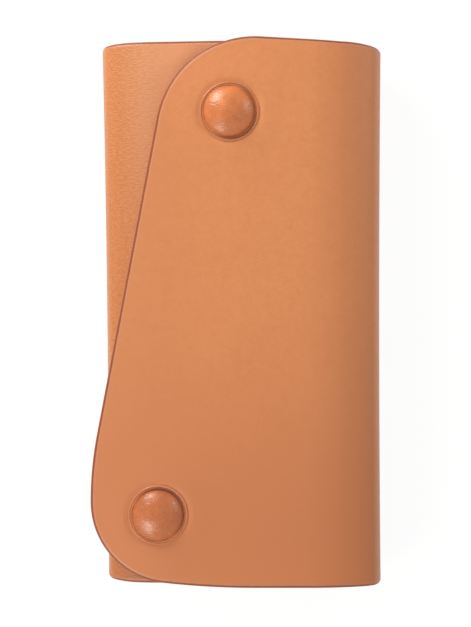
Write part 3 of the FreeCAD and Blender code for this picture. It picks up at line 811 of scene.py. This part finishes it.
# Painted shade on the wing's lower corner
attributes["painted_shade"] = painted_corner_shade_of(points)
points, normals = soften(points, normals, lean_left)
wing = make_piece("inner_wing", points, faces, normals, attributes, hide_leather)
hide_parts("wing_outer")
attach(wing, "wing")

# Back, whose places are those of the blank
points, faces, normals, attributes = leather_panel(
    back_outline, BACK_TURNS, BACK_COUNTS, LEATHER, EDGE_OF_BACK, [LEFT_AXIS, RIGHT_AXIS], np.copy)
attributes["flesh"] = flesh_of(points[:, 2])
attributes["crinkle"] = BACK_CRINKLE * crinkle_of(points)
points, normals = soften(points, normals, lean_left, ease_right)
back = make_piece("case_back_leather", points, faces, normals, attributes, hide_leather)
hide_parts("back_outer")
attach(back, "case_back")

# Folds, each in stretches of equal turn about the fold's line, one for each fold line
folds = {
    "right_fold": (1, RIGHT_AXIS, RIGHT_RADIUS, right_ends_at, FLAP_COUNTS[1], "flap", ease_right),
    "left_fold": (-1, LEFT_AXIS, LEFT_RADIUS, left_ends_at, WING_COUNTS[1], "wing", lean_left),
}
for fold, (side, axis, radius, ends_of, count, last_body, shift) in folds.items():
    step = 180 / FOLD_LINES
    for number in range(FOLD_LINES):
        degrees = (number * step, (number + 1) * step)
        points, faces, normals, attributes = fold_piece(side, axis, radius, degrees, ends_of, count)
        if side < 0:
            attributes["crinkle"] = np.full(len(points), LEFT_FOLD_CRINKLE)
            # Painted sheen on the upper half of the left fold
            attributes["pale"] = painted_sheen_of(points) * (points[:, 2] > LEFT_RADIUS)
            # Painted shade on the left fold's lower end
            attributes["painted_shade"] = painted_corner_shade_of(points)
        else:
            attributes["crinkle"] = np.full(len(points), RIGHT_FOLD_CRINKLE)
            # Painted shade on the right fold, fading towards the back
            attributes["shade_and_bead_tone"] = painted_flap_shade_of(points) * smooth(points[:, 2] / RIGHT_RADIUS)
        points, normals = soften(points, normals, shift)
        name = f"{fold}_leather_{number + 1}"
        piece = make_piece(name, points, faces, normals, attributes, hide_leather)
        if number + 1 < FOLD_LINES:
            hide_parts(f"{fold}_{number + 1}")
        turn = np.radians(degrees)
        line_x = axis + side * radius * np.sin(turn)
        line_z = radius - radius * np.cos(turn)
        lines = np.column_stack([line_x, np.zeros(2), line_z])
        start, end = (lines + shift(lines)).tolist()
        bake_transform(piece)

# Linings, whose soft edge is in millimetres and whose arcs are in degrees a step
LINING_SOFT_EDGE = 0.15
LINING_FINENESS = 1.5
WINDOW_STEPS = 64
LINING_BENDS = 10


def lining(name, corners, holes, levels, body, node, shift=None, bend=None):
    """Make a lining with rounded edges and round windows, from a flat filled curve drawn in millimetres."""
    low, high = levels
    curve = bpy.data.curves.new(name, "CURVE")
    curve.dimensions = "2D"
    curve.fill_mode = "BOTH"
    curve.extrude = (high - low) / MM / 2 - LINING_SOFT_EDGE
    curve.bevel_depth = LINING_SOFT_EDGE
    curve.bevel_resolution = 2
    curve.offset = -LINING_SOFT_EDGE
    lines = [tangent_outline(corners, LINING_FINENESS) / MM]
    angles = np.linspace(0, 2 * math.pi, WINDOW_STEPS, endpoint=False)
    for x, y, radius in holes:
        lines.append(np.column_stack([x + radius * np.cos(angles), y + radius * np.sin(angles)]) / MM)
    for line in lines:
        spline = curve.splines.new("POLY")
        spline.points.add(len(line) - 1)
        knots = np.column_stack([line, np.zeros(len(line)), np.ones(len(line))])
        spline.points.foreach_set("co", knots.ravel())
        spline.use_cyclic_u = True
    mesh = evaluated_mesh(place_in_scene(name + "_shape", curve))
    bpy.data.curves.remove(curve)
    mesh.transform(Matrix.Translation((0, 0, (low + high) / 2)) @ Matrix.Scale(MM, 4))
    mesh.name = name
    if shift is not None:
        cut = bmesh.new()
        cut.from_mesh(mesh)
        for place in np.linspace(*bend, LINING_BENDS):
            bmesh.ops.bisect_plane(cut, geom=cut.verts[:] + cut.edges[:] + cut.faces[:],
                                   plane_co=(place, 0, 0), plane_no=(1, 0, 0))
        cut.to_mesh(mesh)
        cut.free()
        spots = np.zeros(len(mesh.vertices) * 3)
        mesh.vertices.foreach_get("co", spots)
        spots = spots.reshape(-1, 3)
        mesh.vertices.foreach_set("co", (spots + shift(spots)).ravel())
    mesh.materials.clear()
    mesh.materials.append(suede)
    piece = place_in_scene(name, mesh)
    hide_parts(node)
    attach(piece, body)


rivet_low, rivet_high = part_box("rail_rivets")
rivet_y = (rivet_low.y + rivet_high.y) / 2
rivet_places = (rivet_low.x + RIVET_HEAD_RADIUS, rivet_high.x - RIVET_HEAD_RADIUS)
lining("flap_suede", flap_outline(LINING_INSET, RIGHT_AXIS - LINING_INSET),
       [(snap.x, snap.y, SOCKET_WINDOW) for snap in SNAPS],
       (FLAP_LINING[0].z, FLAP_LINING[1].z), "flap", "flap_lining", ease_right,
       (SAG_START, RIGHT_AXIS - 2 * LINING_INSET))
lining("wing_suede", wing_outline(LINING_INSET, LEFT_AXIS + LINING_INSET),
       [(snap.x, snap.y, STUD_WINDOW) for snap in SNAPS],
       (WING_LINING[0].z, WING_LINING[1].z), "wing", "wing_lining", lean_left,
       (-WING_SAG_START, LEFT_AXIS + 2 * LINING_INSET))
lining("back_suede", back_outline(LINING_INSET, LINING_INSET),
       [(rivet_x, rivet_y, RIVET_HOLE) for rivet_x in rivet_places],
       (BACK_LINING[0].z, BACK_LINING[1].z), "case_back", "back_lining")

# Covered caps: one turned profile, set at both snaps
CAP_DOME_RADIUS = 5.3 * MM
CAP_CROWN_HEIGHT = 1.1 * MM
CAP_FOOT_HEIGHT = 1.6 * MM
CAP_GROOVE_WIDTH = 0.28 * MM
CAP_GROOVE_LEVEL = -0.2 * MM
CAP_BEAD_WIDTH = 0.75 * MM
CAP_BEAD_HEIGHT = 0.28 * MM
CAP_SINK = 0.25 * MM
CAP_RINGS = 101
CAP_SEGMENTS = 121
CAP_MERGE = 0.001 * MM

# Parts of the profile, from -0.5 at the crown to 0.5 under the middle: where each part ends
CROWN = -0.5
DOME_END = 0.06
GROOVE_END = 0.14
BEAD_END = 0.44
SOLE_END = 0.5

# Lean of the domes off the middle of their beads, which opens one side of the groove and fills the other
UPPER_CAP_LEAN = (-0.2 * MM, 0.12 * MM)
LOWER_CAP_LEAN = (-0.15 * MM, -0.18 * MM)
CAP_GROOVE_FILL = 0.34 * MM
CAP_OPEN_SHIFT = 0.3
CAP_POLE = 0.01 * MM

# Shares of crinkle and painted shade on the caps, and their distance in millimetres from a cut edge
CAP_FROM_EDGE = 5.0
CAP_CRINKLE = 0.3
# Painted shade in the groove, darkest on its open side
GROOVE_SHADE = 0.65
GROOVE_LEAST_SHADE = 0.15
GROOVE_SPREAD = 0.6
# Painted shade that darkens the lower dome all over
LOWER_CAP_SHADE = 0.38


def turned_cap_tree():
    """Build the node tree of a leather cap: dome, groove, bead and sole, turned about Z at each point."""
    tree = bpy.data.node_groups.new("turned_leather_cap", "GeometryNodeTree")
    sockets = tree.interface
    sockets.new_socket("Places", in_out="INPUT", socket_type="NodeSocketGeometry")
    for label in ("Dome Radius", "Crown Height", "Foot Height", "Groove Width", "Groove Level",
                  "Bead Width", "Bead Height", "Sink"):
        sockets.new_socket(label, in_out="INPUT", socket_type="NodeSocketFloat")
    for label in ("Rings", "Segments"):
        sockets.new_socket(label, in_out="INPUT", socket_type="NodeSocketInt")
    sockets.new_socket("Leather", in_out="INPUT", socket_type="NodeSocketMaterial")
    sockets.new_socket("Caps", in_out="OUTPUT", socket_type="NodeSocketGeometry")
    given = add(tree, "NodeGroupInput").outputs
    grid = add(tree, "GeometryNodeMeshGrid", {
        "Size X": 1.0, "Size Y": 1.0, "Vertices X": given["Rings"],
        "Vertices Y": given["Segments"]}).outputs[0]
    position = add(tree, "GeometryNodeInputPosition").outputs[0]
    place = add(tree, "ShaderNodeSeparateXYZ", {0: position}).outputs
    passed = []
    for first, last in ((CROWN, DOME_END), (DOME_END, GROOVE_END), (GROOVE_END, BEAD_END)):
        passed.append(add(tree, "ShaderNodeMapRange", {
            "Value": place[0], "From Min": first, "From Max": last}).outputs[0])
    dome, groove, bead = passed
    sole = add(tree, "ShaderNodeMapRange", {
        "Value": place[0], "From Min": BEAD_END, "From Max": SOLE_END,
        "To Min": 1.0, "To Max": 0.0}).outputs[0]

    # Distance from the middle
    quarter = add(tree, "ShaderNodeMath", {0: dome, 1: math.pi / 2}, operation="MULTIPLY").outputs[0]
    reach = add(tree, "ShaderNodeMath", {0: quarter}, operation="SINE").outputs[0]
    reach = add(tree, "ShaderNodeMath", {0: reach, 1: given["Dome Radius"]},
                operation="MULTIPLY").outputs[0]
    reach = add(tree, "ShaderNodeMath", {0: groove, 1: given["Groove Width"], 2: reach},
                operation="MULTIPLY_ADD").outputs[0]
    radius = add(tree, "ShaderNodeMath", {0: bead, 1: given["Bead Width"], 2: reach},
                 operation="MULTIPLY_ADD").outputs[0]
    radius = add(tree, "ShaderNodeMath", {0: radius, 1: sole}, operation="MULTIPLY").outputs[0]

    # Height of groove and bead, which ends sunk in the flap, and of the dome above them
    level = given["Groove Level"]
    fall = add(tree, "ShaderNodeMath", {0: level, 1: given["Sink"]}, operation="ADD").outputs[0]
    middle = add(tree, "ShaderNodeMath", {0: level, 1: given["Sink"]}, operation="SUBTRACT").outputs[0]
    rise = add(tree, "ShaderNodeMath", {0: middle, 1: -0.5, 2: given["Bead Height"]},
               operation="MULTIPLY_ADD").outputs[0]
    half_turn = add(tree, "ShaderNodeMath", {0: bead, 1: math.pi}, operation="MULTIPLY").outputs[0]
    hump = add(tree, "ShaderNodeMath", {0: half_turn}, operation="SINE").outputs[0]
    height = add(tree, "ShaderNodeMath", {0: hump, 1: rise, 2: level}, operation="MULTIPLY_ADD").outputs[0]
    sunk = add(tree, "ShaderNodeMath", {0: bead, 1: fall}, operation="MULTIPLY").outputs[0]
    height = add(tree, "ShaderNodeMath", {0: height, 1: sunk}, operation="SUBTRACT").outputs[0]
    crown = add(tree, "ShaderNodeMath", {0: quarter}, operation="COSINE").outputs[0]
    dome_rise = add(tree, "ShaderNodeMath", {0: crown, 1: given["Crown Height"], 2: given["Foot Height"]},
                    operation="MULTIPLY_ADD").outputs[0]
    height = add(tree, "ShaderNodeMath", {0: crown, 1: dome_rise, 2: height},
                 operation="MULTIPLY_ADD").outputs[0]

    # The profile turned about Z, closed, and set at each place
    angle = add(tree, "ShaderNodeMath", {0: place[1], 1: 2 * math.pi}, operation="MULTIPLY").outputs[0]
    cosine = add(tree, "ShaderNodeMath", {0: angle}, operation="COSINE").outputs[0]
    sine = add(tree, "ShaderNodeMath", {0: angle}, operation="SINE").outputs[0]
    across = add(tree, "ShaderNodeMath", {0: radius, 1: cosine}, operation="MULTIPLY").outputs[0]
    along = add(tree, "ShaderNodeMath", {0: radius, 1: sine}, operation="MULTIPLY").outputs[0]
    spot = add(tree, "ShaderNodeCombineXYZ", {0: across, 1: along, 2: height}).outputs[0]
    turned = add(tree, "GeometryNodeSetPosition", {"Geometry": grid, "Position": spot}).outputs[0]
    closed = add(tree, "GeometryNodeMergeByDistance", {
        "Geometry": turned, "Distance": CAP_MERGE}).outputs[0]
    eased = add(tree, "GeometryNodeSetShadeSmooth", {
        "Geometry": closed, "Shade Smooth": True}).outputs[0]
    spots = add(tree, "GeometryNodeMeshToPoints", {"Mesh": given["Places"]}).outputs[0]
    copies = add(tree, "GeometryNodeInstanceOnPoints", {"Points": spots, "Instance": eased}).outputs[0]
    real = add(tree, "GeometryNodeRealizeInstances", {"Geometry": copies}).outputs[0]
    dressed = add(tree, "GeometryNodeSetMaterial", {
        "Geometry": real, "Material": given["Leather"]}).outputs[0]
    add(tree, "NodeGroupOutput", {"Caps": dressed})
    return tree


def dressed_by_tree(name, places, tree, values):
    """Run a node tree on a set of points and return the result as a plain mesh object."""
    mesh = bpy.data.meshes.new(name + "_places")
    mesh.from_pydata(places, [], [])
    seed = place_in_scene(name + "_places", mesh)
    modifier = seed.modifiers.new("tree", "NODES")
    modifier.node_group = tree
    for item in tree.interface.items_tree:
        if item.in_out == "INPUT" and item.name in values:
            modifier[item.identifier] = values[item.name]
    made = evaluated_mesh(seed)
    made.name = name
    bpy.data.meshes.remove(mesh)
    return place_in_scene(name, made)


caps = dressed_by_tree(
    "covered_caps",
    [(snap.x, snap.y, FLAP_TOP) for snap in SNAPS],
    turned_cap_tree(),
    {
        "Dome Radius": CAP_DOME_RADIUS,
        "Crown Height": CAP_CROWN_HEIGHT,
        "Foot Height": CAP_FOOT_HEIGHT,
        "Groove Width": CAP_GROOVE_WIDTH,
        "Groove Level": CAP_GROOVE_LEVEL,
        "Bead Width": CAP_BEAD_WIDTH,
        "Bead Height": CAP_BEAD_HEIGHT,
        "Sink": CAP_SINK,
        "Rings": CAP_RINGS,
        "Segments": CAP_SEGMENTS,
        "Leather": moulded_leather,
    },
)

# Each point's own cap, its distance from that cap's middle, and how far it faces the groove's open side
cap_points = np.zeros(len(caps.data.vertices) * 3, np.float32)
caps.data.vertices.foreach_get("co", cap_points)
cap_points = cap_points.reshape(-1, 3)
on_lower = cap_points[:, 1] < 0
lean = np.where(on_lower[:, None], LOWER_CAP_LEAN, UPPER_CAP_LEAN)
from_centre = cap_points[:, :2] - np.where(on_lower[:, None], LOWER_SNAP[:2], UPPER_SNAP[:2])
from_middle = np.linalg.norm(from_centre, axis=1)
outward = from_centre / np.maximum(from_middle, CAP_POLE)[:, None]
facing = -(outward * lean).sum(axis=1) / np.linalg.norm(lean, axis=1)
opened = smooth(facing + CAP_OPEN_SHIFT)

# Crinkle, bead tone and painted shade of the caps, by where a point was before the domes lean: the groove
# is painted darker as shade, most on its open side, and the lower dome darker all over
mid_groove = CAP_DOME_RADIUS + CAP_GROOVE_WIDTH / 2
on_bead = (from_middle > mid_groove).astype(np.float32)
in_groove = np.abs(from_middle - mid_groove) < GROOVE_SPREAD * CAP_GROOVE_WIDTH
# Painted shade in the groove, darkest on its open side
groove_shade = GROOVE_SHADE * (GROOVE_LEAST_SHADE + (1 - GROOVE_LEAST_SHADE) * opened)
# Painted shade on the lower dome
lower_dome_shade = LOWER_CAP_SHADE * on_lower * (1 - on_bead)
set_attributes(caps.data, {
    "blank": cap_points,
    "edge": np.full(len(cap_points), CAP_FROM_EDGE),
    "crinkle": CAP_CRINKLE * (1 - on_bead),
    "shade_and_bead_tone": on_bead,
    "painted_shade": np.where(in_groove, groove_shade, 0) + lower_dome_shade,
})

# The domes lean, and the groove's closed side fills up
on_dome = 1 - smooth((from_middle - CAP_DOME_RADIUS) / CAP_GROOVE_WIDTH)
cap_points[:, :2] += on_dome[:, None] * lean
fill = FLAP_TOP + CAP_GROOVE_LEVEL + CAP_GROOVE_FILL * (1 - opened)
filled = from_middle < CAP_DOME_RADIUS + CAP_GROOVE_WIDTH + CAP_BEAD_WIDTH / 2
cap_points[:, 2] = np.where(filled, np.maximum(cap_points[:, 2], fill), cap_points[:, 2])
caps.data.vertices.foreach_set("co", cap_points.ravel())
caps.data.update()
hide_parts("upper_snap_cover", "lower_snap_cover")
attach(caps, "flap")

# Metal that stays as its solid
finishes = {"nickel_plate": nickel, "spring_steel": spring_steel, "steel_washer": plain_steel}
for subpart in frame["record"]["subparts"]:
    finish = finishes.get(subpart["material_slot"])
    if finish is not None:
        metal = nodes[subpart["node"]].data
        metal.materials.clear()
        metal.materials.append(finish)


def sees_backdrop(tree):
    """Return 1 for rays that meet the white backdrop: from the camera, off metal and through glass."""
    rays = add(tree, "ShaderNodeLightPath").outputs
    seen = add(tree, "ShaderNodeMath", {0: rays["Is Camera Ray"], 1: rays["Is Glossy Ray"]},
               operation="MAXIMUM").outputs[0]
    return add(tree, "ShaderNodeMath", {0: seen, 1: rays["Is Transmission Ray"]},
               operation="MAXIMUM").outputs[0]


# Pale floor, white where the camera sees it, with a faint shadow
WHITE = (1.0, 1.0, 1.0, 1.0)
PAPER_GREY = (0.8, 0.8, 0.8, 1.0)
FLOOR_HALF = 3.0
FLOOR_DROP = 0.05 * MM
FLOOR_GLOW_SHARE = 0.88
FLOOR_GLOW = 1.06
floor_mesh = bpy.data.meshes.new("studio_floor")
floor_corners = [(-FLOOR_HALF, -FLOOR_HALF), (FLOOR_HALF, -FLOOR_HALF),
                 (FLOOR_HALF, FLOOR_HALF), (-FLOOR_HALF, FLOOR_HALF)]
floor_mesh.from_pydata([(x, y, -FLOOR_DROP) for x, y in floor_corners], [], [(0, 1, 2, 3)])
floor = place_in_scene("studio_floor", floor_mesh)
paper, tree = new_material("white_paper_floor")
share = add(tree, "ShaderNodeMath", {0: sees_backdrop(tree), 1: FLOOR_GLOW_SHARE}, operation="MULTIPLY")
matt = add(tree, "ShaderNodeBsdfDiffuse", {"Color": PAPER_GREY})
glow = add(tree, "ShaderNodeEmission", {"Color": WHITE, "Strength": FLOOR_GLOW})
both = add(tree, "ShaderNodeMixShader", {0: share.outputs[0], 1: matt.outputs[0], 2: glow.outputs[0]})
add(tree, "ShaderNodeOutputMaterial", {"Surface": both.outputs[0]})
floor_mesh.materials.append(paper)

# Soft studio light: a pale room, a softbox at the top left, weaker ones at the bottom left and the right
ROOM_TINT = (1.0, 0.99, 0.98, 1.0)
ROOM_LIGHT = 0.455
world = bpy.data.worlds.new("pale_room")
bpy.context.scene.world = world
world.use_nodes = True
tree = world.node_tree
tree.nodes.clear()
room = add(tree, "ShaderNodeBackground", {"Color": ROOM_TINT, "Strength": ROOM_LIGHT})
backdrop = add(tree, "ShaderNodeBackground", {"Color": WHITE, "Strength": 1.0})
both = add(tree, "ShaderNodeMixShader", {
    0: sees_backdrop(tree), 1: room.outputs[0], 2: backdrop.outputs[0]})
add(tree, "ShaderNodeOutputWorld", {"Surface": both.outputs[0]})


def softbox(name, direction, distance, size, power, colour):
    """Set a rectangular soft light that faces the middle of the case."""
    lamp = bpy.data.lights.new(name, "AREA")
    lamp.shape = "RECTANGLE"
    lamp.size, lamp.size_y = size
    lamp.energy = power
    lamp.color = linear(colour)[:3]
    holder = place_in_scene(name, lamp)
    away = Vector(direction).normalized()
    holder.location = away * distance
    holder.rotation_mode = "QUATERNION"
    holder.rotation_quaternion = away.to_track_quat("Z", "Y")


softbox("softbox_top_left", direction=(-0.47, 0.77, 0.39), distance=0.262, size=(0.104, 0.092),
        power=0.5, colour="#fff6ec")
softbox("softbox_bottom_left", direction=(-0.42, -0.62, 0.52), distance=0.24, size=(0.088, 0.08),
        power=0.25, colour="#fff6ec")
softbox("softbox_right", direction=(0.84, 0.42, 0.4), distance=0.4, size=(0.06, 0.06),
        power=0.25, colour="#fff4ea")

# Camera in front of the closed case, at the photograph's distance
CAMERA_DISTANCE = 340 * MM
CAMERA_X = -0.36 * MM
CAMERA_Y = -0.3 * MM
PIXELS_PER_MM = 4.852
IMAGE_HEIGHT = 627
SENSOR = 36
camera = bpy.data.cameras.new("front_camera")
camera.sensor_width = SENSOR
camera.lens = PIXELS_PER_MM / MM * CAMERA_DISTANCE * SENSOR / IMAGE_HEIGHT
camera.clip_start = 0.01
camera.clip_end = 20
eye = place_in_scene("front_camera", camera)
eye.location = (CAMERA_X, CAMERA_Y, FLAP_TOP + CAMERA_DISTANCE)
bpy.context.scene.camera = eye
bpy.context.scene.view_settings.view_transform = "Standard"
